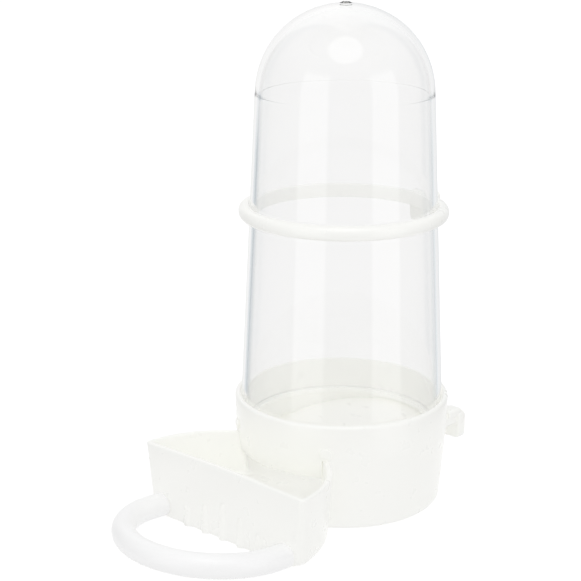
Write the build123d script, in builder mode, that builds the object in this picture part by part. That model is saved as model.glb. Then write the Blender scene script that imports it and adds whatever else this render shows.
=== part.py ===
from build123d import *

import os
from math import cos, radians, sin, tan

# Cage bird fount: a clear domed reservoir stands in a two-part base whose trough has a
# plug-in perch, and a hooked support ring sits round the reservoir.
# Millimetres. The origin is on the reservoir's axis at the foot of the base, +Z is up,
# the trough and the perch point to -Y and the cage hooks to +Y.

# ---------------------------------------------------------------- driving dimensions
TOTAL_HEIGHT = 124.8        # foot to the top of the dome
BASE_HEIGHT = 27.2          # foot to the collar's rim
PART_Z = 18.2               # trough rim, where collar and tray meet
WALL = 1.3                  # general wall of the ivory mouldings

FOOT_R = 25.2               # tray cup at the foot
WAIST_R = 26.8              # tray cup where it meets the collar
RIM_R = 27.0                # collar at its rim
SOCKET_R = 25.8             # collar bore that takes the reservoir

TUBE_MOUTH_R = 25.35        # reservoir, straight part inside the collar
DOME_BASE_R = 21.8          # reservoir just under the dome
TUBE_WALL = 1.3

TROUGH_FRONT = 43.3         # axis to the trough's front wall at the rim
TROUGH_HALF_RIM = 26.7      # half width of the trough at the rim
TROUGH_HALF_HEEL = 25.6     # and just above its rounded foot
TROUGH_HEEL_Z = 3.0         # height of that rounding
TROUGH_HEEL_R = 2.4         # how far the rounding draws the sides in
TROUGH_FLOOR_Z = 7.0
TROUGH_LEAN = 0.2           # how much nearer the front wall is at its heel
RAMP_SLOPE = 12.4           # degrees

RING_Z = 74.0               # middle height of the support ring
RING_BORE_R = 23.45
RING_OUTER_R = 25.9
RING_HEIGHT = 3.6
RING_TURN = -8.5            # degrees that the loose ring stands turned about the tube

PERCH_ROD_R = 2.95
PERCH_HALF_SPAN = 21.0      # axis to each prong
PERCH_STRAIGHT = 2.8        # straight stretch before the loop's half circle
PERCH_RISE = 5.0            # degrees that the loop climbs outwards

HOOK_OUTER_Y = 29.7         # outer face of the hook plates
HOOK_PLATE = 2.8            # thickness of the hook plates
HOOK_CORNER_R = 1.4
HOOK_EDGE_R = 0.6
ARM_CORNER_R = 0.9

# ---------------------------------------------------------------- derived dimensions
CUP_LEAN = (WAIST_R - FOOT_R) / PART_Z
RAMP_FOOT_Y = -22.0         # where the ramp meets the trough's floor
COLLAR_FIT = 0.1            # gap between the collar's skirt and the tray
SKIRT_Z = 13.5              # lower edge of the skirt, above the feed opening
SEAT_Z = PART_Z + 1.2       # ledge that the reservoir stands on
LEDGE_R = 22.9              # inner edge of the ledge

TAPER_Z = BASE_HEIGHT + 0.8
GATE_HEIGHT = 0.3           # moulding gate left on top of the dome
GATE_R = 1.6
GATE_ROOT = 0.5             # how far the gate's disc starts inside the dome
DOME_STEP = 0.25            # shoulder at the parting line under the dome
DOME_R = DOME_BASE_R - DOME_STEP
DOME_BASE_Z = TOTAL_HEIGHT - GATE_HEIGHT - DOME_R

PRONG_R = 1.9
PRONG_FIT = 0.05            # radial clearance of a prong in its socket
PRONG_LENGTH = 5.0
SOCKET_SPARE = 0.3          # depth of the socket beyond the prong
SOCKET_END = 1.3            # depth of the socket's block beyond the prong
PERCH_Z = PERCH_ROD_R + 0.05
SHOULDER_Y = -TROUGH_FRONT - 0.02
SOCKET_WALL_R = PERCH_ROD_R - 0.1
BURIED = 1.0                # how far an added feature starts inside its host
CLEAR = 1.0                 # how far a cut runs past the face it opens
HALF_SPREAD = 40            # half width of the sloping cut, wider than the base

# The trough's plan, first at the heel and then at the rim.
BOW = (0.3, 0.8)            # hollow of the front wall
CORNER_R = (2.2, 0.8)       # front corners
SIDE_X = (23.0, 24.5)       # middle of each bulged side wall
SIDE_Y = (-32.6, -32.6)
ROOT_X = (14.0, 15.2)       # inner end of that wall, inside the cup
ROOT_Y = (-21.0, -21.8)
TONGUE = (10.0, -14.0)      # where the plan ends, well inside the cup

FOOT_FILLET = 0.9
RIM_FILLET = 0.5
RING_OUTER_FILLET = 1.7
RING_BORE_FILLET = 0.3

RIB_PITCH = 6.0
RIB_FOOT_Z = 0.2
RIB_FOOT_R = 1.6
RIB_TOP_R = 0.95
RIB_HEIGHTS = (5.0, 7.1, 9.0, 7.1, 5.0)
PAD_ANGLE = 33.5            # degrees from the trough's middle to each pad
PAD_Z = PART_Z + 2.0
PAD_WIDTH, PAD_HEIGHT, PAD_CORNER_R = 3.0, 2.4, 0.8
PAD_RELIEF = 0.4            # how far a pad stands out of the collar


def cup_radius(z, inset=0.0):
    """Outer radius of the tray's cup at height z, less an inset."""
    return FOOT_R + CUP_LEAN * z - inset


def ramp_z(y):
    """Height of the ramp's upper face at y."""
    return TROUGH_FLOOR_Z + (y - RAMP_FOOT_Y) * tan(radians(RAMP_SLOPE))


def trough_plan(z, inset=0.0, tuck=0.0):
    """Plan of the trough at height z: bowed front wall, bulged sides, and a tongue that
    ends inside the cup. It narrows and its corners grow rounder towards the foot. The
    sides are drawn in by tuck, and the front wall hardly."""
    share = (z - TROUGH_HEEL_Z) / (PART_Z - TROUGH_HEEL_Z)

    def between(heel, rim):
        return heel + (rim - heel) * share

    half = between(TROUGH_HALF_HEEL, TROUGH_HALF_RIM) - tuck
    front = between(TROUGH_FRONT - TROUGH_LEAN, TROUGH_FRONT) - 0.1 * tuck
    bow = between(*BOW)
    corner = between(*CORNER_R) + 0.8 * tuck
    side = (between(*SIDE_X) - 0.95 * tuck, between(*SIDE_Y) + 0.2 * tuck)
    root = (between(*ROOT_X) - 0.5 * tuck, between(*ROOT_Y) + 0.5 * tuck)
    with BuildSketch(Plane.XY.offset(z)) as plan:
        with BuildLine():
            ThreePointArc((-half, -front), (0, bow - front), (half, -front))
            ThreePointArc((half, -front), side, root)
            Polyline(root, TONGUE, (-TONGUE[0], TONGUE[1]), (-root[0], root[1]))
            ThreePointArc((-root[0], root[1]), (-side[0], side[1]), (-half, -front))
        make_face()
        fillet(vertices().group_by(Axis.Y)[0], corner)
        if inset:
            offset(amount=-inset, mode=Mode.REPLACE)
    return plan.sketch


def trough_body():
    """The trough as a solid block from the foot to the rim, its heel rounded in steps."""
    sections = []
    for step in (90, 60, 30, 0):
        z = TROUGH_HEEL_Z * (1 - sin(radians(step)))
        tuck = TROUGH_HEEL_R * (1 - cos(radians(step)))
        sections.append(trough_plan(z, 0, tuck))
    with BuildPart() as body:
        loft([*sections, trough_plan(PART_Z)], ruled=True)
    return body.part


def cup_profile(inset, low_z, high_z):
    """Half section of the cup's tapered body, for revolving."""
    with BuildSketch(Plane.XZ) as profile:
        with BuildLine():
            Polyline(
                (0, low_z),
                (cup_radius(low_z, inset), low_z),
                (cup_radius(high_z, inset), high_z),
                (0, high_z),
                close=True,
            )
        make_face()
    return profile.sketch


def side_below(drop, far_z):
    """Side view of what lies between the line of floor and ramp, dropped by drop, and
    the height far_z. It reaches past the base in front and behind."""
    front_y, back_y = -60, 40
    with BuildSketch(Plane.YZ) as view:
        with BuildLine():
            Polyline(
                (front_y, far_z),
                (front_y, TROUGH_FLOOR_Z - drop),
                (RAMP_FOOT_Y, TROUGH_FLOOR_Z - drop),
                (back_y, ramp_z(back_y) - drop),
                (back_y, far_z),
                close=True,
            )
        make_face()
    return view.sketch


def hook(root_y, plate_x, plate_z, arm_x, arm_z):
    """Cage hook: a web standing out to +Y and a plate hanging from its end. Each of
    plate_x, plate_z, arm_x and arm_z is a low and a high limit."""
    arm_end = HOOK_OUTER_Y - HOOK_PLATE / 2
    with BuildPart() as piece:
        with BuildSketch(Plane.XZ.offset(-HOOK_OUTER_Y)):
            with Locations((sum(plate_x) / 2, sum(plate_z) / 2)):
                RectangleRounded(plate_x[1] - plate_x[0], plate_z[1] - plate_z[0], HOOK_CORNER_R)
        extrude(amount=HOOK_PLATE)
        fillet(piece.faces().sort_by(Axis.Y)[-1].edges(), HOOK_EDGE_R)
        with BuildSketch(Plane.XZ.offset(-arm_end)):
            with Locations((sum(arm_x) / 2, sum(arm_z) / 2)):
                RectangleRounded(arm_x[1] - arm_x[0], arm_z[1] - arm_z[0], ARM_CORNER_R)
        extrude(amount=arm_end - root_y)
    return piece.part


# ---------------------------------------------------------------- spaces inside the tray
# What the feed lies in: inside the cup and the trough, above the ramp and the floor.
with BuildPart() as feed_space:
    revolve(cup_profile(WALL, 0, PART_Z + CLEAR), axis=Axis.Z)
    loft([trough_plan(TROUGH_HEEL_Z, WALL), trough_plan(PART_Z + CLEAR, WALL)])
    extrude(side_below(0, -2 * CLEAR), amount=HALF_SPREAD, both=True, mode=Mode.SUBTRACT)

# The hollow under the ramp and the floor, open at the foot.
with BuildPart() as foot_hollow:
    revolve(cup_profile(WALL, -CLEAR, PART_Z), axis=Axis.Z)
    loft([trough_plan(-CLEAR, WALL, TROUGH_HEEL_R), trough_plan(PART_Z, WALL, TROUGH_HEEL_R)])
    extrude(side_below(WALL, PART_Z + 2 * CLEAR), amount=HALF_SPREAD, both=True, mode=Mode.SUBTRACT)

# ---------------------------------------------------------------- base tray
right_hook = hook(
    root_y=22.0, plate_x=(10.5, 17.5), plate_z=(10.6, 18.0), arm_x=(13.2, 16.6), arm_z=(14.6, 17.8)
)

with BuildPart() as base_tray:
    revolve(cup_profile(0, 0, PART_Z), axis=Axis.Z)
    fillet(faces().sort_by(Axis.Z)[0].edges(), FOOT_FILLET)
    add(trough_body())
    # grip ribs rising from the foot of the front wall
    for number, height in enumerate(RIB_HEIGHTS):
        across = (number - 2) * RIB_PITCH
        with Locations((across, BURIED - TROUGH_FRONT, RIB_FOOT_Z)):
            Cone(RIB_FOOT_R, RIB_TOP_R, height, align=(Align.CENTER, Align.CENTER, Align.MIN))
    add(feed_space.part, mode=Mode.SUBTRACT)
    add(foot_hollow.part, mode=Mode.SUBTRACT)
    # sockets for the perch, moulded under the floor
    for side in (-1, 1):
        with BuildSketch(Plane.XZ.offset(TROUGH_FRONT - BURIED)):
            with Locations((side * PERCH_HALF_SPAN, PERCH_Z)):
                Circle(SOCKET_WALL_R)
        extrude(amount=BURIED - PRONG_LENGTH - SOCKET_END)
        with BuildSketch(Plane.XZ.offset(TROUGH_FRONT + BURIED)):
            with Locations((side * PERCH_HALF_SPAN, PERCH_Z)):
                Circle(PRONG_R + PRONG_FIT)
        extrude(amount=-BURIED - PRONG_LENGTH - SOCKET_SPARE, mode=Mode.SUBTRACT)
    add(right_hook)
    mirror(right_hook, about=Plane.YZ)
base_tray.part.label = "base_tray"

# ---------------------------------------------------------------- base collar
# The strip of wall that closes the cup above the feed opening.
with BuildPart() as apron:
    loft([trough_plan(0, WALL + COLLAR_FIT), trough_plan(PART_Z, WALL + COLLAR_FIT)])
    with BuildSketch(Plane.XZ):
        with BuildLine():
            Polyline(
                (cup_radius(PART_Z, 2 * WALL), PART_Z),
                (cup_radius(SKIRT_Z, 2 * WALL), SKIRT_Z),
                (cup_radius(SKIRT_Z), SKIRT_Z),
                (cup_radius(PART_Z), PART_Z),
                close=True,
            )
        make_face()
    revolve(axis=Axis.Z, mode=Mode.INTERSECT)

with BuildPart() as base_collar:
    skirt_outer, skirt_inner = WALL + COLLAR_FIT, 2 * WALL + COLLAR_FIT
    with BuildSketch(Plane.XZ):
        with BuildLine():
            Polyline(
                (LEDGE_R, SEAT_Z),
                (LEDGE_R, PART_Z),
                (cup_radius(PART_Z, skirt_inner), PART_Z),
                (cup_radius(SKIRT_Z, skirt_inner), SKIRT_Z),
                (cup_radius(SKIRT_Z, skirt_outer), SKIRT_Z),
                (cup_radius(PART_Z, skirt_outer), PART_Z),
                (WAIST_R, PART_Z),
                (RIM_R, BASE_HEIGHT),
                (SOCKET_R, BASE_HEIGHT),
                (SOCKET_R, SEAT_Z),
                close=True,
            )
        make_face()
    revolve(axis=Axis.Z)
    fillet(edges().group_by(Axis.Z)[-1], RIM_FILLET)
    add(apron.part)
    extrude(side_below(-COLLAR_FIT, -2 * CLEAR), amount=HALF_SPREAD, both=True, mode=Mode.SUBTRACT)
    # low pads above the two ends of the trough's rim
    for side in (-1, 1):
        turned = Plane.XZ.rotated((0, 0, side * PAD_ANGLE)).offset(RIM_R - BURIED)
        with BuildSketch(turned):
            with Locations((0, PAD_Z)):
                RectangleRounded(PAD_WIDTH, PAD_HEIGHT, PAD_CORNER_R)
        extrude(amount=BURIED + PAD_RELIEF)
base_collar.part.label = "base_collar"

# ---------------------------------------------------------------- reservoir
with BuildPart() as reservoir:
    with BuildSketch(Plane.XZ):
        with BuildLine():
            top_z = DOME_BASE_Z + DOME_R
            inner_r = DOME_R - TUBE_WALL
            Polyline(
                (TUBE_MOUTH_R - TUBE_WALL, SEAT_Z),
                (TUBE_MOUTH_R, SEAT_Z),
                (TUBE_MOUTH_R, TAPER_Z),
                (DOME_BASE_R, DOME_BASE_Z),
                (DOME_R, DOME_BASE_Z),
            )
            RadiusArc((DOME_R, DOME_BASE_Z), (0, top_z), -DOME_R)
            Line((0, top_z), (0, top_z - TUBE_WALL))
            RadiusArc((0, top_z - TUBE_WALL), (inner_r, DOME_BASE_Z), inner_r)
            Polyline(
                (inner_r, DOME_BASE_Z),
                (TUBE_MOUTH_R - TUBE_WALL, TAPER_Z),
                (TUBE_MOUTH_R - TUBE_WALL, SEAT_Z),
            )
        make_face()
    revolve(axis=Axis.Z)
    with BuildSketch(Plane.XY.offset(DOME_BASE_Z + DOME_R - GATE_ROOT)):
        Circle(GATE_R)
    extrude(amount=GATE_HEIGHT + GATE_ROOT)
reservoir.part.label = "reservoir"

# ---------------------------------------------------------------- support ring
ring_hook = hook(
    root_y=24.4, plate_x=(-3.5, 3.5), plate_z=(67.3, 75.4), arm_x=(-1.7, 1.7), arm_z=(72.5, 75.2)
)

with BuildPart() as support_ring:
    with BuildSketch(Plane.XZ):
        with Locations(((RING_BORE_R + RING_OUTER_R) / 2, RING_Z)):
            Rectangle(RING_OUTER_R - RING_BORE_R, RING_HEIGHT)
        fillet(vertices().group_by(Axis.X)[-1], RING_OUTER_FILLET)
        fillet(vertices().group_by(Axis.X)[0], RING_BORE_FILLET)
    revolve(axis=Axis.Z)
    add(ring_hook.rotate(Axis.Z, RING_TURN))
support_ring.part.label = "support_ring"

# ---------------------------------------------------------------- perch
with BuildPart() as perch:
    loop_plane = Plane(
        origin=(0, SHOULDER_Y, PERCH_Z), x_dir=(1, 0, 0), z_dir=(0, 0, 1)
    ).rotated((-PERCH_RISE, 0, 0))
    with BuildLine(loop_plane) as loop:
        Line((-PERCH_HALF_SPAN, BURIED), (-PERCH_HALF_SPAN, -PERCH_STRAIGHT))
        ThreePointArc(
            (-PERCH_HALF_SPAN, -PERCH_STRAIGHT),
            (0, -PERCH_STRAIGHT - PERCH_HALF_SPAN),
            (PERCH_HALF_SPAN, -PERCH_STRAIGHT),
        )
        Line((PERCH_HALF_SPAN, -PERCH_STRAIGHT), (PERCH_HALF_SPAN, BURIED))
    with BuildSketch(Plane(origin=loop.wire() @ 0, z_dir=loop.wire() % 0)):
        Circle(PERCH_ROD_R)
    sweep(path=loop.wire())
    split(bisect_by=Plane.XZ.offset(-SHOULDER_Y), keep=Keep.TOP)
    for side in (-1, 1):
        with BuildSketch(Plane.XZ.offset(-SHOULDER_Y + BURIED)):
            with Locations((side * PERCH_HALF_SPAN, PERCH_Z)):
                Circle(PRONG_R)
        extrude(amount=-BURIED - PRONG_LENGTH)
perch.part.label = "perch"

# ---------------------------------------------------------------- one file per piece
os.makedirs("parts", exist_ok=True)
export_step(base_tray.part, "parts/base_tray.step")
export_step(base_collar.part, "parts/base_collar.step")
export_step(reservoir.part, "parts/reservoir.step")
export_step(support_ring.part, "parts/support_ring.step")
export_step(perch.part, "parts/perch.step")
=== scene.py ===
from math import atan2, cos, hypot, pi, radians, sin, sqrt

import bmesh
import bpy
from mathutils import Euler, Matrix, Vector


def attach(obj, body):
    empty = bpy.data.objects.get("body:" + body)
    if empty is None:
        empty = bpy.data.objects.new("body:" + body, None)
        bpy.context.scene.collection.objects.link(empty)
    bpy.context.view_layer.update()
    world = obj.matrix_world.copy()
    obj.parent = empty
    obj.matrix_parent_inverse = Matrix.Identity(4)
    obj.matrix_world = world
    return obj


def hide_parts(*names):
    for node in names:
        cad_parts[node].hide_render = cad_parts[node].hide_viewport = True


# A cage bird fount in clear and ivory plastic. The lengths of its pieces are in millimetres
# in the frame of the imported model, and become metres when a mesh is made. The lengths of
# the studio are in metres.

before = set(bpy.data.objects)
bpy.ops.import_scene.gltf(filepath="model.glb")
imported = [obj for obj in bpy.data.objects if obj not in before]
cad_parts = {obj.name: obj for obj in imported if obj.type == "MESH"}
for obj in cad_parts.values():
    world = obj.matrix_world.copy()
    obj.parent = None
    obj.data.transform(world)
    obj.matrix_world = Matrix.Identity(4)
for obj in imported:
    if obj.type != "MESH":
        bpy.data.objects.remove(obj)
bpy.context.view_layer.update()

MM = 0.001
WALL = 1.3

# base: tray and collar
PART_Z = 18.2           # trough rim, where collar and tray meet
BASE_HEIGHT = 27.2
SEAT_Z = PART_Z + 1.2   # ledge under the reservoir
FOOT_R, WAIST_R, RIM_R, SOCKET_R, LEDGE_R = 25.2, 26.8, 27.0, 25.8, 22.9
FLOOR_Z, RAMP_FOOT_Y, RAMP_SLOPE, RAMP_EASE = 7.0, -22.0, 0.2199, 1.2
HEEL_Z, HEEL_R = 3.0, 2.4
FOOT_FILLET, FOOT_EDGE = 0.9, 0.25              # under the cup, under the trough
RIM_OUT, RIM_IN, RIM_CUP = 0.5, 0.45, 0.02      # rounding of the tray's top edges
FLOOR_FILLET, CEILING_FILLET = 1.0, 0.6
SKIRT_Z, SKIRT_R = 13.5, 24.6                   # the collar's skirt inside the tray
APRON_TURN = 31.6       # degrees from the front where the skirt fills out to the cup's face
PAD_TURN, PAD_Z = 33.5, PART_Z + 2.0

# reservoir and ring
TUBE_MOUTH_R, TUBE_BEND_Z = 25.35, 28.0
DOME_BASE_R, DOME_BASE_Z, DOME_R = 21.8, 102.95, 21.55
PARTING_STEP = 0.065    # how far the dome stands in from the tube at the parting line
TOP_Z, GATE_R, GATE_SLOPE = 124.8, 1.6, 0.9
RING_Z, RING_BORE_R, RING_OUTER_R, RING_HEIGHT, RING_TURN = 74.0, 23.45, 25.9, 3.6, -8.5

# perch, cage hooks and grip ribs
PERCH_ROD_R, PERCH_HALF_SPAN, PERCH_STRAIGHT, PERCH_RISE = 2.945, 21.0, 2.8, 5.0
PERCH_Z, SHOULDER_Y, PRONG_R, PRONG_LENGTH = 3.0, -43.32, 1.9, 5.0
PRONG_BORE_R = PRONG_R + 0.05
PERCH_SEAT = 0.2        # the wall's foot leans away from the shoulder by this much
HOOK_OUTER_Y, HOOK_PLATE = 29.7, 2.8
RIB_PITCH, RIB_FOOT_R, RIB_TOP_R, RIB_FOOT_Z, RIB_FADE = 6.0, 1.6, 0.95, 0.2, 0.5
RIB_OUT, RIB_SWELL = 0.44, 0.7                  # how far a rib stands out, and more at its foot
RIB_HEIGHTS = (5.0, 7.1, 9.0, 7.1, 5.0)


def add_object(name, data):
    thing = bpy.data.objects.new(name, data)
    bpy.context.scene.collection.objects.link(thing)
    return thing


# ------------------------------------------------------------------ materials
NOISE_LOW, NOISE_HIGH = 0.3, 0.7    # nearly all of a noise lies between these


def node_tree(name):
    material = bpy.data.materials.new(name)
    material.use_nodes = True
    tree = material.node_tree
    shader = tree.nodes["Principled BSDF"]
    place = tree.nodes.new("ShaderNodeTexCoord")
    return material, tree, shader, place


def noise(tree, place, scale, detail=3.0):
    """Noise over the object's own coordinates; scale is in waves per metre."""
    texture = tree.nodes.new("ShaderNodeTexNoise")
    texture.inputs["Scale"].default_value = scale
    texture.inputs["Detail"].default_value = detail
    texture.inputs["Roughness"].default_value = 0.55
    tree.links.new(place.outputs["Object"], texture.inputs["Vector"])
    return texture.outputs["Fac"]


def ranged(tree, value, from_min, from_max, to_min, to_max):
    """value mapped from one range to another and held at its ends."""
    mapped = tree.nodes.new("ShaderNodeMapRange")
    for key, number in (
        ("From Min", from_min), ("From Max", from_max), ("To Min", to_min), ("To Max", to_max),
    ):
        mapped.inputs[key].default_value = number
    tree.links.new(value, mapped.inputs["Value"])
    return mapped.outputs["Result"]


def spread(tree, value, low, high):
    """A noise value mapped to low to high."""
    return ranged(tree, value, NOISE_LOW, NOISE_HIGH, low, high)


def tint(tree, value, first, second):
    """Colour between first and second by a noise value."""
    ramp = tree.nodes.new("ShaderNodeValToRGB")
    for element, position, colour in zip(
        ramp.color_ramp.elements, (NOISE_LOW, NOISE_HIGH), (first, second),
    ):
        element.position = position
        element.color = (*colour, 1.0)
    tree.links.new(value, ramp.inputs["Fac"])
    return ramp.outputs["Color"]


def bump(tree, shader, *heights):
    """Stacks bumps onto the shader; each height is (value, strength, distance in metres)."""
    last = None
    for value, strength, distance in heights:
        step = tree.nodes.new("ShaderNodeBump")
        step.inputs["Strength"].default_value = strength
        step.inputs["Distance"].default_value = distance
        tree.links.new(value, step.inputs["Height"])
        if last:
            tree.links.new(last, step.inputs["Normal"])
        last = step.outputs["Normal"]
    tree.links.new(last, shader.inputs["Normal"])


def moulded_plastic(name, light, deep, rough, glow, painted_glow_strength):
    """Moulded plastic: cloudy colour, uneven gloss, faint sink marks and a fine grain. The
    glow is painted light: an even emission that stands in for the light its thin walls let through
    and lifts its shaded hollows."""
    material, tree, shader, place = node_tree(name)
    cloud = noise(tree, place, 38.0, detail=2.0)
    grain = noise(tree, place, 1500.0, detail=2.0)
    sink = noise(tree, place, 90.0, detail=1.0)
    tree.links.new(tint(tree, cloud, deep, light), shader.inputs["Base Color"])
    tree.links.new(spread(tree, noise(tree, place, 260.0), *rough), shader.inputs["Roughness"])
    bump(tree, shader, (sink, 0.08, 0.00012), (grain, 0.05, 0.00002))
    shader.inputs["IOR"].default_value = 1.48
    # painted light: an even glow of the plastic, standing in for light through its thin walls and
    # lifting its shaded hollows
    shader.inputs["Emission Color"].default_value = (*glow, 1.0)
    shader.inputs["Emission Strength"].default_value = painted_glow_strength
    return material


def clear_plastic(name):
    """Blown clear plastic: slightly wavy, with faint haze and handling marks in its gloss."""
    material, tree, shader, place = node_tree(name)
    haze = noise(tree, place, 35.0, detail=5.0)
    wave = noise(tree, place, 28.0, detail=1.0)
    marks = noise(tree, place, 700.0, detail=2.0)
    dull, bright = (0.977, 0.977, 0.977), (0.987, 0.987, 0.987)
    tree.links.new(tint(tree, haze, dull, bright), shader.inputs["Base Color"])
    tree.links.new(spread(tree, haze, 0.0, 0.012), shader.inputs["Roughness"])
    bump(tree, shader, (wave, 0.02, 0.00025), (marks, 0.006, 0.00001))
    shader.inputs["IOR"].default_value = 1.47
    shader.inputs["Transmission Weight"].default_value = 1.0
    return material


# the glow of each plastic below is painted light, not a lamp
ivory = moulded_plastic(
    "ivory_plastic", light=(0.934, 0.938, 0.914), deep=(0.930, 0.933, 0.908),
    rough=(0.26, 0.34), glow=(1.0, 0.965, 0.92), painted_glow_strength=0.062,
)
white = moulded_plastic(
    "white_plastic", light=(0.922, 0.922, 0.923), deep=(0.917, 0.917, 0.918),
    rough=(0.34, 0.42), glow=(1.0, 1.0, 1.0), painted_glow_strength=0.052,
)
clear = clear_plastic("clear_plastic")


# ------------------------------------------------------------------ mesh helpers
def make_piece(name, verts, faces, body, material, slot, sharp=50.0):
    """A mesh piece from millimetre points: welded, normals outwards, smooth but for edges
    sharper than the given angle in degrees."""
    mesh = bpy.data.meshes.new(name)
    mesh.from_pydata([tuple(c * MM for c in v) for v in verts], [], faces)
    work = bmesh.new()
    work.from_mesh(mesh)
    bmesh.ops.remove_doubles(work, verts=work.verts, dist=1e-7)
    bmesh.ops.recalc_face_normals(work, faces=work.faces)
    for face in work.faces:
        face.smooth = True
    for edge in work.edges:
        edge.smooth = not (len(edge.link_faces) == 2 and edge.calc_face_angle(0.0) > radians(sharp))
    work.to_mesh(mesh)
    work.free()
    piece = add_object(name, mesh)
    mesh.materials.append(material)
    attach(piece, body)
    return piece


def skin(loops, ring=False, close=False):
    """Vertices and quads through loops of equal length. Each loop is closed if ring, and
    the last loop joins the first if close."""
    count = len(loops[0])
    verts = [point for loop in loops for point in loop]
    faces = []
    rows = len(loops) if close else len(loops) - 1
    for row in range(rows):
        below, above = row * count, (row + 1) % len(loops) * count
        for k in range(count if ring else count - 1):
            after = (k + 1) % count
            faces.append((below + k, below + after, above + after, above + k))
    return verts, faces


def merge(*meshes):
    """Several (verts, faces) as one."""
    verts, faces = [], []
    for more_verts, more_faces in meshes:
        start = len(verts)
        verts += more_verts
        faces += [tuple(start + k for k in face) for face in more_faces]
    return verts, faces


def moved(mesh, matrix):
    """(verts, faces) carried over by the matrix."""
    verts, faces = mesh
    return [tuple(matrix @ Vector(v)) for v in verts], faces


def rounded(points, radii, steps=6):
    """A closed plan outline or section with its corners rounded to the radii given."""
    out = []
    count = len(points)
    for k, (point, radius) in enumerate(zip(points, radii)):
        corner = Vector(point)
        if radius <= 0:
            out.append(tuple(corner))
            continue
        back = (Vector(points[k - 1]) - corner).normalized()
        ahead = (Vector(points[(k + 1) % count]) - corner).normalized()
        half_angle = back.angle(ahead) / 2
        reach = radius / (sin(half_angle) / cos(half_angle))
        centre = corner + (back + ahead).normalized() * (radius / sin(half_angle))
        start = corner + back * reach - centre
        end = corner + ahead * reach - centre
        turn = start.angle_signed(end)
        for step in range(steps + 1):
            spoke = Matrix.Rotation(-turn * step / steps, 2) @ start
            out.append(tuple(centre + spoke))
    return out


def lathe(section, segments, close=True):
    """Turns a section of (radius, z) points about Z. A point on the axis makes a pole. The
    section's last point joins its first if close."""
    loops = []
    for k in range(segments):
        turn = 2 * pi * k / segments
        loops.append([(r * cos(turn), r * sin(turn), z) for r, z in section])
    if close:
        loops = [loop + loop[:1] for loop in loops]
    return skin(loops, close=True)


def slab(low, high, plan_round, edge_round):
    """A slab between two corners. Seen along Y its corners are rounded to plan_round, and
    the edges round its two faces are eased by edge_round."""
    steps = 4
    edge = []
    for step in range(steps + 1):
        lean = pi / 2 * step / steps
        edge.append((edge_round * (1 - cos(lean)), edge_round * (1 - sin(lean))))
    levels = [(low[1] + rise, inset) for rise, inset in edge]
    levels += [(high[1] - rise, inset) for rise, inset in reversed(edge)]
    loops = []
    for y, inset in levels:
        left, right = low[0] + inset, high[0] - inset
        foot, top = low[2] + inset, high[2] - inset
        corners = [(left, foot), (right, foot), (right, top), (left, top)]
        outline = rounded(corners, [max(plan_round - inset, 0.15)] * 4, 5)
        loops.append([(x, y, z) for x, z in outline])
    verts, faces = skin(loops, ring=True)
    count = len(loops[0])
    faces.append(tuple(range(count)))
    faces.append(tuple(range(len(verts) - count, len(verts))))
    return verts, faces


def hook(root_y, plate_x, plate_z, arm_x, arm_z):
    """Cage hook: a web that stands out to +Y and a plate that hangs from its end. Each _x
    and _z is a pair, from and to."""
    plate = slab(
        (plate_x[0], HOOK_OUTER_Y - HOOK_PLATE, plate_z[0]),
        (plate_x[1], HOOK_OUTER_Y, plate_z[1]), plan_round=1.5, edge_round=0.55,
    )
    web = slab(
        (arm_x[0], root_y, arm_z[0]),
        (arm_x[1], HOOK_OUTER_Y - HOOK_PLATE / 2, arm_z[1]), plan_round=0.9, edge_round=0.2,
    )
    return merge(plate, web)


# ------------------------------------------------------------------ tray
def cup_radius(z):
    """Outer radius of the cup at height z."""
    return FOOT_R + (WAIST_R - FOOT_R) * z / PART_Z


def floor_height(y):
    """Floor of the trough and the ramp behind it, with the bend between them eased."""
    past = y - RAMP_FOOT_Y
    if past <= -RAMP_EASE:
        return FLOOR_Z
    if past < RAMP_EASE:
        return FLOOR_Z + RAMP_SLOPE * (past + RAMP_EASE) ** 2 / (4 * RAMP_EASE)
    return FLOOR_Z + RAMP_SLOPE * past


def circle_through(a, b, c):
    """Centre and radius of the circle through three points."""
    d = 2 * (a[0] * (b[1] - c[1]) + b[0] * (c[1] - a[1]) + c[0] * (a[1] - b[1]))
    qa, qb, qc = (p[0] ** 2 + p[1] ** 2 for p in (a, b, c))
    x = (qa * (b[1] - c[1]) + qb * (c[1] - a[1]) + qc * (a[1] - b[1])) / d
    y = (qa * (c[0] - b[0]) + qb * (a[0] - c[0]) + qc * (b[0] - a[0])) / d
    return Vector((x, y)), hypot(a[0] - x, a[1] - y)


def arc(centre, radius, start, end, steps):
    """Points on an arc between the directions start and end, the shorter way round."""
    first = atan2(start[1], start[0])
    turn = atan2(end[1], end[0]) - first
    turn = (turn + pi) % (2 * pi) - pi
    angles = [first + turn * k / steps for k in range(steps + 1)]
    return [(centre[0] + radius * cos(a), centre[1] + radius * sin(a)) for a in angles]


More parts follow.
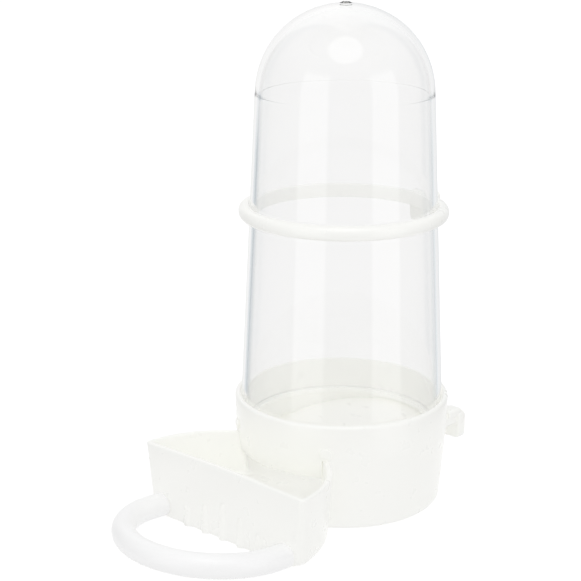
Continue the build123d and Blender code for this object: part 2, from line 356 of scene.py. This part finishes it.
def tray_outline(z, inset=0.0, cup_inset=None, tuck=0.0, ribs=False):
    """Plan of cup and trough together at height z, from the back of the cup clockwise.
    tuck draws the trough's sides in, as its rounded heel does."""
    if cup_inset is None:
        cup_inset = inset

    # half width and depth at the front, the front's bow, the corner's radius, and two
    # more points on the side's arc; share is 0 at the heel and 1 at the rim
    share = (z - HEEL_Z) / (PART_Z - HEEL_Z)
    half = 25.6 + 1.1 * share - tuck
    front = 43.1 + 0.2 * share - 0.1 * tuck
    bow = 0.3 + 0.5 * share
    corner = max(2.2 - 1.0 * share + 0.8 * tuck - inset, 0.5)
    bulge = (23.0 + 1.5 * share - 0.95 * tuck, -32.6 + 0.2 * tuck)
    root = (14.0 + 1.2 * share - 0.5 * tuck, -21.0 - 0.8 * share + 0.5 * tuck)
    mid, reach = circle_through((half, -front), bulge, root)
    reach -= inset
    front -= inset
    cup = cup_radius(z) - cup_inset

    # the web of plastic between cup and trough, rounded off
    web = 0.8
    gap = mid.length
    along = ((cup + web) ** 2 - (reach + web) ** 2 + gap ** 2) / (2 * gap)
    across = sqrt((cup + web) ** 2 - along ** 2)
    way = mid.normalized()
    joint = way * along + Vector((-way.y, way.x)) * across

    lift = corner - front
    turn = Vector((mid.x + sqrt((reach - corner) ** 2 - (lift - mid.y) ** 2), lift))
    half_plan = arc((0, 0), cup, (0, 1), joint, 64)
    half_plan += arc(joint, web, -joint, mid - joint, 8)[1:]
    half_plan += arc(mid, reach, joint - mid, turn - mid, 28)[1:]
    half_plan += arc(turn, corner, turn - mid, (0, -1), 10)[1:]
    steps = 96
    for k in range(1, steps + 1):
        x = turn.x * (1 - k / steps)
        y = bow * (1 - (x / turn.x) ** 2) ** 2 - front
        half_plan.append((x, y - (rib_height(x, z) if ribs else 0.0)))
    return half_plan + [(-x, y) for x, y in reversed(half_plan[1:-1])]


def rib_height(x, z):
    """How far the grip ribs stand out of the front wall."""
    out = 0.0
    for number, height in enumerate(RIB_HEIGHTS):
        top = height + RIB_FOOT_Z
        if z >= top:
            continue
        across = abs(x - (number - 2) * RIB_PITCH)
        radius = RIB_FOOT_R + (RIB_TOP_R - RIB_FOOT_R) * max(z - RIB_FOOT_Z, 0) / height
        fade = min(1.0, (top - z) / RIB_FADE)
        reach = radius * 1.05
        if across < reach:
            swell = cos(across / reach * pi / 2) ** 2
            depth = RIB_OUT + RIB_SWELL * (radius - RIB_TOP_R)
            out = max(out, depth * swell * sqrt(fade * (2 - fade)))
    return out


def eased(depth, radius):
    """How far an edge of that radius is drawn in at this depth from its end."""
    if depth >= radius:
        return 0.0
    return radius - sqrt(max(radius ** 2 - (radius - depth) ** 2, 0.0))


def tray_mesh():
    """Outer skin, rim, inner skin, floor, and the hollow underneath, as one surface."""
    loops = []
    heights = [0.0, 0.04, 0.12, 0.25, 0.4, 0.6, 0.9, 1.2, 1.6, 2.0, 2.5, 3.0]
    heights += [3.0 + 0.4 * k for k in range(1, 18)] + [10.6, 11.5, 13.0, 14.5, 16.0, 17.2]
    for z in heights:
        tuck = HEEL_R * (1 - sqrt(1 - (1 - z / HEEL_Z) ** 2)) if z < HEEL_Z else 0.0
        plan = tray_outline(z, eased(z, FOOT_EDGE), eased(z, FOOT_FILLET), tuck, ribs=True)
        loops.append([(x, y, z) for x, y in plan])

    def rim(depth, outside):
        """The rim at this depth below the top: well rounded on the trough, crisp where
        the collar stands on the cup."""
        z = PART_Z - depth
        if outside:
            plan = tray_outline(z, eased(depth, RIM_OUT), eased(depth, RIM_CUP))
        else:
            plan = tray_outline(z, WALL - eased(depth, RIM_IN))
        loops.append([(x, y, z) for x, y in plan])

    depths = (0.0, 0.02, 0.05, 0.1, 0.16, 0.25, 0.36)
    for depth in (RIM_OUT, *reversed(depths)):
        rim(depth, outside=True)
    for depth in (*depths, RIM_IN):
        rim(depth, outside=False)

    # down the inside to the floor, which is met in a small fillet
    def down(floor_z, share):
        return PART_Z - RIM_IN + (floor_z + FLOOR_FILLET - PART_Z + RIM_IN) * share

    for step in range(1, 13):
        share = step / 12
        plan = tray_outline(down(FLOOR_Z, share), WALL)
        loops.append([(x, y, down(floor_height(y), share)) for x, y in plan])
    for step in range(1, 6):
        lean = pi / 2 * step / 5
        plan = tray_outline(FLOOR_Z, WALL + FLOOR_FILLET * (1 - cos(lean)))
        loops.append([(x, y, floor_height(y) + FLOOR_FILLET * (1 - sin(lean))) for x, y in plan])
    floor = fill_in(loops[-1], floor_height)

    # the hollow underneath: its mouth at the foot, its walls and its ceiling
    under = []
    mouth = tray_outline(0.0, WALL, WALL, HEEL_R)
    under.append([(x, y, 0.0) for x, y in mouth])
    for step in range(1, 5):
        under.append([
            (x, y, (floor_height(y) - WALL - CEILING_FILLET) * step / 4) for x, y in mouth
        ])
    for step in range(1, 4):
        lean = pi / 2 * step / 3
        plan = tray_outline(0.0, WALL + CEILING_FILLET * (1 - cos(lean)), None, HEEL_R)
        under.append([
            (x, y, floor_height(y) - WALL - CEILING_FILLET * (1 - sin(lean))) for x, y in plan
        ])
    ceiling = fill_in(under[-1], lambda y: floor_height(y) - WALL)

    foot = skin([loops[0], under[0]], ring=True)
    return merge(skin(loops, ring=True), floor, foot, skin(under, ring=True), ceiling)


def fill_in(loop, height):
    """Closes a loop with rings that shrink to a point over a surface of that height."""
    hub = (0.0, -14.0)
    loops = [loop]
    for share in (0.88, 0.76, 0.64, 0.52, 0.4, 0.28, 0.16, 0.06):
        ring = []
        for x, y, _ in loop:
            across, along = hub[0] + (x - hub[0]) * share, hub[1] + (y - hub[1]) * share
            ring.append((across, along, height(along)))
        loops.append(ring)
    verts, faces = skin(loops, ring=True)
    verts.append((*hub, height(hub[1])))
    count = len(loop)
    last = len(verts) - 1 - count
    faces += [(last + k, last + (k + 1) % count, len(verts) - 1) for k in range(count)]
    return verts, faces


tray = make_piece("tray_shell", *tray_mesh(), "base", ivory, "ivory_plastic")
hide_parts("base_tray")


def bored(piece, x):
    """Cuts the mouth of a perch socket through the front wall."""
    drill = bpy.data.meshes.new("drill")
    work = bmesh.new()
    centre = Vector((x, SHOULDER_Y + 1.0, PERCH_Z)) * MM
    bmesh.ops.create_cone(
        work, cap_ends=True, segments=64, radius1=PRONG_BORE_R * MM, radius2=PRONG_BORE_R * MM,
        depth=5.0 * MM, matrix=Matrix.Translation(centre) @ Matrix.Rotation(pi / 2, 4, "X"),
    )
    work.to_mesh(drill)
    work.free()
    tool = add_object("drill", drill)
    cut = piece.modifiers.new("bore", "BOOLEAN")
    cut.operation, cut.solver, cut.object = "DIFFERENCE", "EXACT", tool
    graph = bpy.context.evaluated_depsgraph_get()
    cut_mesh = bpy.data.meshes.new_from_object(piece.evaluated_get(graph))
    piece.modifiers.clear()
    piece.data = cut_mesh
    bpy.data.objects.remove(tool)


for side in (-1, 1):
    bored(tray, side * PERCH_HALF_SPAN)


def socket_mesh(x):
    """Blind socket behind the front wall: a tube open towards -Y, closed at its far end."""
    outer, mouth, end = PERCH_ROD_R - 0.1, -42.3, -37.0
    back = end + 1.0
    corners = [
        (PRONG_BORE_R, mouth), (outer, mouth), (outer, back), (0.0, back), (0.0, end),
        (PRONG_BORE_R, end),
    ]
    section = rounded(corners, (0.05, 0.05, 0.4, 0, 0, 0.3), 4)
    turned = Matrix.Translation((x, 0, PERCH_Z)) @ Matrix.Rotation(-pi / 2, 4, "X")
    return moved(lathe(section, 64), turned)


sockets = make_piece(
    "tray_sockets", *merge(socket_mesh(-PERCH_HALF_SPAN), socket_mesh(PERCH_HALF_SPAN)),
    "base", ivory, "ivory_plastic",
)

right_hook = hook(
    root_y=22.0, plate_x=(10.5, 17.5), plate_z=(10.6, 18.0),
    arm_x=(13.2, 16.6), arm_z=(14.6, 17.8),
)
crown = slab((12.8, 23.4, 16.6), (17.0, 28.7, 18.7), plan_round=0.9, edge_round=0.3)
right_hook = merge(right_hook, crown)
flip = Matrix.Scale(-1, 4, (1, 0, 0))
hooks = make_piece(
    "tray_hooks", *merge(right_hook, moved(right_hook, flip)), "base", ivory, "ivory_plastic",
)


# ------------------------------------------------------------------ collar
def collar_mesh():
    """Lathed collar whose skirt fills out to the cup's face where it closes the trough,
    and whose lower edge follows the ramp at the back."""
    turns = [-180 + k * 1.25 for k in range(288)]
    turns += [APRON_TURN - 0.06, -APRON_TURN + 0.06, APRON_TURN, -APRON_TURN]
    loops = []
    for turn in sorted(turns):
        angle = radians(turn)
        apron = abs(turn) < APRON_TURN - 0.03
        foot = max(SKIRT_Z, floor_height(-SKIRT_R * cos(angle)) + 0.1)
        inner = 2 * WALL + 0.1
        outer = 0.0 if apron else WALL + 0.1
        # the ledge's bore, the skirt's inside, foot and outside, and the face on the tray
        section = [
            (LEDGE_R, SEAT_Z), (LEDGE_R, PART_Z + 0.3), (LEDGE_R + 0.1, PART_Z),
            (cup_radius(PART_Z) - inner, PART_Z - 0.1),
            (cup_radius(foot) - inner, foot + 0.25), (cup_radius(foot) - inner + 0.2, foot),
            (cup_radius(foot) - outer - 0.3, foot), (cup_radius(foot) - outer, foot + 0.3),
            (cup_radius(PART_Z) - outer - 0.01, PART_Z - 0.25),
            (WAIST_R - 0.01 if apron else WAIST_R - 0.9, PART_Z - 0.02 if apron else PART_Z),
            (WAIST_R - (0.005 if apron else 0.02), PART_Z),
            (WAIST_R, PART_Z + 0.02), (WAIST_R + 0.001, PART_Z + 0.06),
            (WAIST_R + 0.03, PART_Z + 1.5),
        ]
        lip = rounded(
            [(WAIST_R, PART_Z), (RIM_R, BASE_HEIGHT), (SOCKET_R, BASE_HEIGHT), (SOCKET_R, SEAT_Z)],
            (0, 0.88, 0.3, 0.3), 8,
        )
        section += lip[1:]
        # angle 0 is the middle of the trough
        loops.append([(r * sin(angle), -r * cos(angle), z) for r, z in section])
    return skin([loop + loop[:1] for loop in loops], close=True)


def pad_mesh(turn):
    """Low rounded pad on the collar above one end of the trough's rim."""
    flat = slab((-1.5, -0.2, -1.2), (1.5, 0.4, 1.2), plan_round=1.1, edge_round=0.3)
    stand = Matrix.Rotation(radians(turn), 4, "Z") @ Matrix.Translation((0, -RIM_R, PAD_Z))
    return moved(flat, stand @ Matrix.Rotation(pi, 4, "Z"))


collar = make_piece(
    "collar_ring", *merge(collar_mesh(), pad_mesh(PAD_TURN), pad_mesh(-PAD_TURN)),
    "base", ivory, "ivory_plastic",
)
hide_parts("base_collar")


# ------------------------------------------------------------------ reservoir
def reservoir_section():
    """From the pole inside the dome, down the inner wall, round the lip and up outside."""
    dome_r = DOME_BASE_R - PARTING_STEP
    inner_r = dome_r - WALL
    section = []
    for k in range(37):
        angle = radians(90 - 2.5 * k)
        section.append((inner_r * cos(angle), DOME_BASE_Z + (DOME_R - WALL) * sin(angle)))
    section += [(inner_r, DOME_BASE_Z - 0.3)]
    for share in (0.01, 0.1, 0.2, 0.3, 0.4, 0.5, 0.6, 0.7, 0.8, 0.9, 0.99, 1.0):
        z = DOME_BASE_Z - 0.3 + (TUBE_BEND_Z - DOME_BASE_Z + 0.3) * share
        section.append((inner_r + (TUBE_MOUTH_R - WALL - inner_r) * share, z))
    lip = [
        (TUBE_MOUTH_R - WALL, TUBE_BEND_Z), (TUBE_MOUTH_R - WALL, SEAT_Z),
        (TUBE_MOUTH_R, SEAT_Z), (TUBE_MOUTH_R, TUBE_BEND_Z),
    ]
    section += rounded(lip, (0, 0.5, 0.5, 0), 6)[1:]
    for share in (0.01, 0.1, 0.2, 0.3, 0.4, 0.5, 0.6, 0.7, 0.8, 0.9, 0.98):
        section.append((
            TUBE_MOUTH_R + (DOME_BASE_R - TUBE_MOUTH_R) * share,
            TUBE_BEND_Z + (DOME_BASE_Z - TUBE_BEND_Z) * share,
        ))
    # the parting line, a small rounded shoulder PARTING_STEP deep where the mould's halves
    # met; the dome is a little wider than it is high, to keep that shoulder low
    section += [
        (DOME_BASE_R + 0.01, DOME_BASE_Z - 0.3), (DOME_BASE_R, DOME_BASE_Z - 0.1),
        (DOME_BASE_R - 0.005, DOME_BASE_Z - 0.04), (DOME_BASE_R - 0.02, DOME_BASE_Z - 0.01),
        (DOME_BASE_R - 0.04, DOME_BASE_Z), (DOME_BASE_R - 0.055, DOME_BASE_Z + 0.02),
        (DOME_BASE_R - 0.06, DOME_BASE_Z + 0.06), (dome_r, DOME_BASE_Z + 0.25),
    ]
    for k in range(1, 43):
        angle = radians(2.0 * k)
        section.append((dome_r * cos(angle), DOME_BASE_Z + DOME_R * sin(angle)))

    def dome_height(r):
        return DOME_BASE_Z + DOME_R * sqrt(1 - (r / dome_r) ** 2)

    # the moulding gate on top, a low soft button
    for reach in (0.4, 0.25, 0.1):
        section.append((GATE_R + reach, dome_height(GATE_R + reach)))
    foot = dome_height(GATE_R)
    for share in (0.0, 0.1, 0.25, 0.4, 0.55, 0.7, 0.85, 1.0):
        smooth = share * share * (3 - 2 * share)
        section.append((GATE_R - GATE_SLOPE * share, foot + (TOP_Z - foot) * smooth))
    section += [(0.35, TOP_Z), (0.0, TOP_Z)]
    return section


tube = make_piece(
    "reservoir_tube", *lathe(reservoir_section(), 224, close=False),
    "reservoir", clear, "clear_plastic", sharp=35.0,
)
tube.visible_shadow = False
tube.visible_diffuse = False
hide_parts("reservoir")


# ------------------------------------------------------------------ ring
def ring_mesh():
    """The ring, with a fuller outer face than its bore, and its hook."""
    low, high = RING_Z - RING_HEIGHT / 2, RING_Z + RING_HEIGHT / 2
    corners = [(RING_BORE_R, low), (RING_OUTER_R, low), (RING_OUTER_R, high), (RING_BORE_R, high)]
    band = lathe(rounded(corners, (0.3, 1.7, 1.7, 0.3), 10), 224)
    clip = hook(
        root_y=24.6, plate_x=(-3.5, 3.5), plate_z=(67.3, 75.4),
        arm_x=(-1.7, 1.7), arm_z=(72.5, 75.2),
    )
    return merge(band, moved(clip, Matrix.Rotation(radians(RING_TURN), 4, "Z")))


ring = make_piece("ring_band", *ring_mesh(), "ring", ivory, "ivory_plastic")
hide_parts("support_ring")


# ------------------------------------------------------------------ perch
def perch_mesh():
    """Rod swept round its loop from prong to prong. The loop climbs outwards a little."""
    rise = radians(PERCH_RISE)
    points = 48
    path = [(-PERCH_HALF_SPAN, 0.0), (-PERCH_HALF_SPAN, -PERCH_STRAIGHT)]
    for k in range(1, 96):
        turn = pi + pi * k / 96
        path.append((PERCH_HALF_SPAN * cos(turn), PERCH_HALF_SPAN * sin(turn) - PERCH_STRAIGHT))
    path += [(PERCH_HALF_SPAN, -PERCH_STRAIGHT), (PERCH_HALF_SPAN, 0.0)]
    loops = []
    for k, (x, y) in enumerate(path):
        first, last = path[max(k - 1, 0)], path[min(k + 1, len(path) - 1)]
        ahead = Vector((last[0] - first[0], last[1] - first[1])).normalized()
        out = Vector((-ahead.y, ahead.x))
        at_wall = k in (0, len(path) - 1)
        round_rod = []
        for step in range(points):
            turn = 2 * pi * step / points
            across, up = PERCH_ROD_R * cos(turn), PERCH_ROD_R * sin(turn)
            px, py = x + out.x * across, y + out.y * across
            lean_y = py * cos(rise) + up * sin(rise)
            lean_z = -py * sin(rise) + up * cos(rise)
            if at_wall:
                lean_y, lean_z = PERCH_SEAT, up / cos(rise)
            round_rod.append((px, SHOULDER_Y + lean_y, PERCH_Z + lean_z))
        loops.append(round_rod)
    verts, faces = skin(loops, ring=True)
    faces += [tuple(range(points)), tuple(range(len(verts) - points, len(verts)))]
    prongs = []
    for side in (-1, 1):
        start, end = SHOULDER_Y - 0.5, SHOULDER_Y + PRONG_LENGTH
        corners = [(0.0, start), (PRONG_R, start), (PRONG_R, end), (0.0, end)]
        section = rounded(corners, (0, 0, 0.5, 0), 6)
        stand = Matrix.Translation((side * PERCH_HALF_SPAN, 0, PERCH_Z))
        stand = stand @ Matrix.Rotation(-pi / 2, 4, "X")
        prongs.append(moved(lathe(section, 48), stand))
    return merge((verts, faces), *prongs)


perch = make_piece("perch_loop", *perch_mesh(), "perch", white, "white_plastic")
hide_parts("perch")


# ------------------------------------------------------------------ studio
def plain(name, colour, rough, glow):
    """Paper with a faint unevenness in its shade."""
    material, tree, shader, place = node_tree(name)
    shade = noise(tree, place, 6.0, detail=2.0)
    deeper = tuple(c * 0.995 for c in colour)
    tree.links.new(tint(tree, shade, colour, deeper), shader.inputs["Base Color"])
    shader.inputs["Roughness"].default_value = rough
    shader.inputs["Emission Color"].default_value = (1.0, 1.0, 1.0, 1.0)
    shader.inputs["Emission Strength"].default_value = glow
    return material


def sheet_object(name, width, height):
    mesh = bpy.data.meshes.new(name)
    x, y = width / 2, height / 2
    mesh.from_pydata([(-x, -y, 0), (x, -y, 0), (x, y, 0), (-x, y, 0)], [], [(0, 1, 2, 3)])
    return add_object(name, mesh)


def disc_object(name, radius):
    mesh = bpy.data.meshes.new(name)
    work = bmesh.new()
    bmesh.ops.create_circle(work, cap_ends=True, segments=96, radius=radius)
    work.to_mesh(mesh)
    work.free()
    return add_object(name, mesh)


# Only the near part of the floor shows in reflections; beyond it they see the room. Both
# parts lie just under the foot, the near one on top.
paper = plain("floor_paper", colour=(0.92, 0.92, 0.92), rough=0.9, glow=0.25)
floor_near = disc_object("studio_floor_near", radius=0.085)
floor_near.location.z = -0.0001
floor_far = sheet_object("studio_floor_far", width=12.0, height=12.0)
floor_far.location.z = -0.0002
floor_far.visible_glossy = False
for floor in (floor_near, floor_far):
    floor.data.materials.append(paper)
    floor.visible_diffuse = False
    floor.visible_transmission = False


def surround(name, radius, light, rays):
    """A sphere round the studio that gives off light, seen only by the rays named."""
    mesh = bpy.data.meshes.new(name)
    work = bmesh.new()
    bmesh.ops.create_icosphere(work, subdivisions=5, radius=radius)
    work.to_mesh(mesh)
    work.free()
    shell = add_object(name, mesh)
    material = bpy.data.materials.new(name)
    material.use_nodes = True
    tree = material.node_tree
    tree.nodes.remove(tree.nodes["Principled BSDF"])
    lamp = tree.nodes.new("ShaderNodeEmission")
    tree.links.new(lamp.outputs["Emission"], tree.nodes["Material Output"].inputs["Surface"])
    light(tree, lamp)
    mesh.materials.append(material)
    shell.visible_camera = "camera" in rays
    shell.visible_transmission = "transmission" in rays
    shell.visible_glossy = "glossy" in rays
    shell.visible_diffuse = False
    shell.visible_volume_scatter = False
    shell.visible_shadow = False


def backdrop_light(tree, lamp):
    """What the camera sees behind the object: white."""
    lamp.inputs["Strength"].default_value = 1.02


def around(tree, gradient, stops):
    """Colour by compass direction. Each stop is (degrees from +X, colour)."""
    ramp = tree.nodes.new("ShaderNodeValToRGB")
    elements = ramp.color_ramp.elements
    while len(elements) > 1:
        elements.remove(elements[-1])
    for k, (degrees, colour) in enumerate(stops):
        place = 0.5 + degrees / 360
        element = elements[0] if k == 0 else elements.new(place)
        element.position = place
        element.color = (*colour, 1.0)
    tree.links.new(gradient.outputs["Fac"], ramp.inputs["Fac"])
    return ramp.outputs["Color"]


def compass(tree):
    """The shell's own coordinates, a gradient round its axis, and the height on it."""
    place = tree.nodes.new("ShaderNodeTexCoord")
    gradient = tree.nodes.new("ShaderNodeTexGradient")
    gradient.gradient_type = "RADIAL"
    tree.links.new(place.outputs["Object"], gradient.inputs["Vector"])
    height = tree.nodes.new("ShaderNodeSeparateXYZ")
    tree.links.new(place.outputs["Object"], height.inputs["Vector"])
    return place, gradient, height.outputs["Z"]


def through_light(tree, lamp):
    """What is seen through the clear plastic: just short of white, with two low grey cards
    beside the backdrop that draw a dark line along the tube's inner edges."""
    _, gradient, height = compass(tree)
    pale, left, right = (0.968, 0.966, 0.963), (0.60, 0.65, 0.68), (0.80, 0.84, 0.86)
    left_fringe, right_fringe = (0.91, 0.93, 0.945), (0.93, 0.94, 0.95)
    cards = around(tree, gradient, (
        (-180, pale), (82, pale), (87, right), (101, right), (104, right_fringe), (119, pale),
        (143, pale), (156, left_fringe), (160, left), (174, left), (179, pale), (180, pale),
    ))
    # a colour Mix has its factor, A and B in inputs 0, 6 and 7 and its result in output 2
    mixed = tree.nodes.new("ShaderNodeMix")
    mixed.data_type = "RGBA"
    over_cards = ranged(tree, height, from_min=-0.34, from_max=-0.2, to_min=0.0, to_max=1.0)
    tree.links.new(over_cards, mixed.inputs[0])
    tree.links.new(cards, mixed.inputs[6])
    mixed.inputs[7].default_value = (*pale, 1.0)
    tree.links.new(mixed.outputs[2], lamp.inputs["Color"])


def room_light(tree, lamp):
    """What gloss sees: a lit backdrop behind the object, dim walls beside it, two bright
    upright panels in front, a round light above them and a paler ceiling."""
    place, gradient, height = compass(tree)
    dim_left, dim_right, front = (0.26, 0.27, 0.28), (0.31, 0.31, 0.315), (0.36, 0.36, 0.36)
    lit_right, lit_left = (0.70, 0.72, 0.74), (0.86, 0.86, 0.86)
    walls = around(tree, gradient, (
        (-180, dim_left), (-140, dim_left), (-118, front), (30, front), (58, dim_right),
        (88, dim_right), (94, lit_right), (126, lit_right), (134, lit_left), (169, lit_left),
        (175, dim_left), (180, dim_left),
    ))
    none, left, right = (0.0, 0.0, 0.0), (1.15, 1.15, 1.15), (1.2, 1.2, 1.2)
    panels = around(tree, gradient, (
        (-180, none), (-108, none), (-105, left), (-71, left), (-68, none),
        (-16, none), (-13, right), (20, right), (23, none), (180, none),
    ))
    shown = tree.nodes.new("ShaderNodeVectorMath")
    shown.operation = "SCALE"
    tree.links.new(panels, shown.inputs[0])
    panel_top = ranged(tree, height, from_min=1.15, from_max=1.4, to_min=1.0, to_max=0.0)
    tree.links.new(panel_top, shown.inputs["Scale"])

    # the round light: how far a direction on the shell lies from the light's middle
    above = tree.nodes.new("ShaderNodeVectorMath")
    above.operation = "DISTANCE"
    above.inputs[1].default_value = (0.667, -0.767, 2.284)
    tree.links.new(place.outputs["Object"], above.inputs[0])
    away = above.outputs["Value"]
    disc = ranged(tree, away, from_min=0.72, from_max=0.86, to_min=1.4, to_max=0.0)

    ceiling = ranged(tree, height, from_min=0.8, from_max=1.9, to_min=0.0, to_max=0.6)
    total = walls
    for part in (shown.outputs["Vector"], disc, ceiling):
        added = tree.nodes.new("ShaderNodeVectorMath")
        added.operation = "ADD"
        tree.links.new(total, added.inputs[0])
        tree.links.new(part, added.inputs[1])
        total = added.outputs["Vector"]
    tree.links.new(total, lamp.inputs["Color"])


surround("studio_backdrop", 2.6, backdrop_light, ("camera",))
surround("studio_through", 2.55, through_light, ("transmission",))
surround("studio_room", 2.5, room_light, ("glossy",))


def softbox(name, azimuth, elevation, size, power):
    """A square area light aimed at the object's middle; azimuth is in degrees from +X."""
    middle, distance = Vector((0, 0, 0.06)), 1.2
    lamp = bpy.data.lights.new(name, "AREA")
    lamp.size, lamp.energy = size, power
    box = add_object(name, lamp)
    a, e = radians(azimuth), radians(elevation)
    towards = Vector((cos(a) * cos(e), sin(a) * cos(e), sin(e)))
    box.location = middle + towards * distance
    box.rotation_euler = towards.to_track_quat("Z", "Y").to_euler()
    box.visible_camera = False
    box.visible_transmission = False
    box.visible_glossy = False


softbox("top_light", azimuth=-55.0, elevation=78.0, size=0.8, power=0.9)
softbox("key_light", azimuth=-38.0, elevation=25.0, size=0.45, power=1.45)
softbox("fill_light", azimuth=-150.0, elevation=20.0, size=0.6, power=0.5)

scene = bpy.context.scene
world = bpy.data.worlds.new("studio_world")
scene.world = world
world.use_nodes = True
background = world.node_tree.nodes["Background"]
background.inputs["Color"].default_value = (0.812, 0.812, 0.812, 1.0)
background.inputs["Strength"].default_value = 1.0

scene.view_settings.view_transform = "Standard"
scene.view_settings.look = "None"
# light crosses the clear wall many times, and reflections inside it count as glossy
scene.cycles.max_bounces = 48
scene.cycles.transmission_bounces = 48
scene.cycles.glossy_bounces = 48
scene.cycles.diffuse_bounces = 12

lens = bpy.data.cameras.new("camera")
lens.sensor_width = 36.0
lens.lens = 96.54
lens.clip_start, lens.clip_end = 0.01, 20.0
camera = add_object("camera", lens)
camera.location = (0.24635, -0.28180, 0.16175)
heading, pitch, roll = 0.75317, 0.28214, 0.0022
aim = Euler((pi / 2 - pitch, 0, heading)).to_matrix() @ Matrix.Rotation(roll, 3, "Z")
camera.rotation_euler = aim.to_euler()
scene.camera = camera
